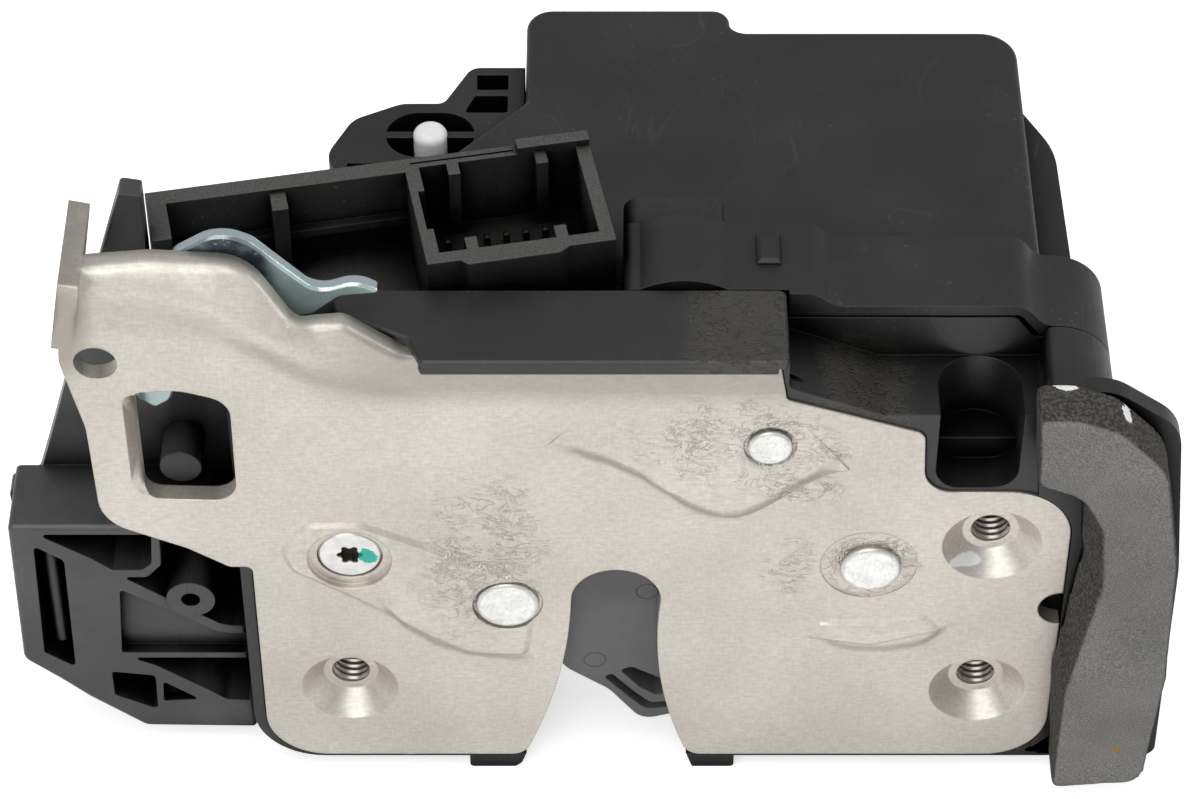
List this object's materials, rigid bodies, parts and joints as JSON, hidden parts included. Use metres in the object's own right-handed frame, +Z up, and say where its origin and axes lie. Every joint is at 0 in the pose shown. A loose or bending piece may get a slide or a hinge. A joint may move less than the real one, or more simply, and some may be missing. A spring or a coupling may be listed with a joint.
{
  "type": "door latch actuator",
  "caption": "Powered vehicle door latch: steel face plate with a striker slot, spring-loaded forkbolt and pawl, release lever, connector and geared motor housing.",
  "frame": {"origin": "centre of the round end of the striker slot, on the front face of the steel plate", "axes": "+X to the right along the plate, +Y back through the latch, +Z up; the striker slot opens towards -Z"},
  "size_m": [0.1522, 0.0849, 0.0928],
  "materials": {
    "plate_steel": "bright zinc-plated, lightly brushed",
    "zinc_steel": "zinc-plated",
    "rivet_steel": "bright plated",
    "screw_steel": "bright plated",
    "spring_steel": "drawn wire",
    "fork_steel": "hardened",
    "lever_steel": "blue zinc-plated",
    "motor_steel": "plated can",
    "terminal_metal": "tin-plated",
    "gear_brass": "turned",
    "housing_plastic": "fine grain",
    "case_plastic": "fine grain",
    "shield_plastic": "fine grain",
    "connector_plastic": "satin",
    "flank_plastic": "satin",
    "fork_plastic": "satin",
    "pin_plastic": "natural",
    "gear_plastic": "natural acetal",
    "foam": "open-cell foam"
  },
  "bodies": {
    "frame": {"latch_plate": "plate_steel", "latch_housing": "housing_plastic", "back_plate": "zinc_steel", "fork_rivet": "rivet_steel", "pawl_rivet": "rivet_steel", "stud_rivet": "rivet_steel", "plate_screw": "screw_steel", "fork_spring": "spring_steel", "pawl_spring": "spring_steel", "edge_shield": "shield_plastic", "release_pin": "rivet_steel", "connector_housing": "connector_plastic", "terminals": "terminal_metal", "actuator_housing": "case_plastic", "actuator_cover": "case_plastic", "case_screws": "screw_steel", "guide_pin": "pin_plastic", "motor": "motor_steel", "gear_pin": "rivet_steel", "flank_housing": "flank_plastic", "foam_seal": "foam"},
    "fork": {"forkbolt_core": "fork_steel", "forkbolt_cover": "fork_plastic"},
    "pawl": {"pawl": "fork_steel"},
    "release": {"release_lever": "lever_steel"},
    "lock": {"lock_gear": "gear_plastic", "lock_lever": "gear_plastic"},
    "pinion": {"motor_pinion": "gear_brass"}
  },
  "joints": [
    {"name": "fork_turn", "type": "hinge", "parent": "frame", "child": "fork", "pos_m": [-0.014, 0.0069, -0.0006], "axis": [0, -1, 0], "range_deg": [0, 70], "stiffness_Nm_per_rad": 0.02, "springref_deg": -17.19, "deforming": ["fork_spring"]},
    {"name": "pawl_turn", "type": "hinge", "parent": "frame", "child": "pawl", "pos_m": [0.0325, 0.0069, 0.0063], "axis": [0, 1, 0], "range_deg": [-5, 5], "stiffness_Nm_per_rad": 0.02, "springref_deg": -17.19, "deforming": ["pawl_spring"]},
    {"name": "release_turn", "type": "hinge", "parent": "frame", "child": "release", "pos_m": [-0.046, 0.0071, 0.0476], "axis": [0, -1, 0], "range_deg": [0, 15], "stiffness_Nm_per_rad": 0.01, "springref_deg": -11.46},
    {"name": "lock_turn", "type": "hinge", "parent": "frame", "child": "lock", "pos_m": [0.008, 0.0305, 0.02], "axis": [0, -1, 0], "range_deg": [-30, 30]},
    {"name": "pinion_turn", "type": "hinge", "parent": "frame", "child": "pinion", "pos_m": [0.0224, 0.0305, 0.02], "axis": [0, -1, 0], "range_deg": [-60, 60]}
  ],
  "couplings": [
    {"joint": "pinion_turn", "follows": "lock_turn", "ratio": -2}
  ]
}
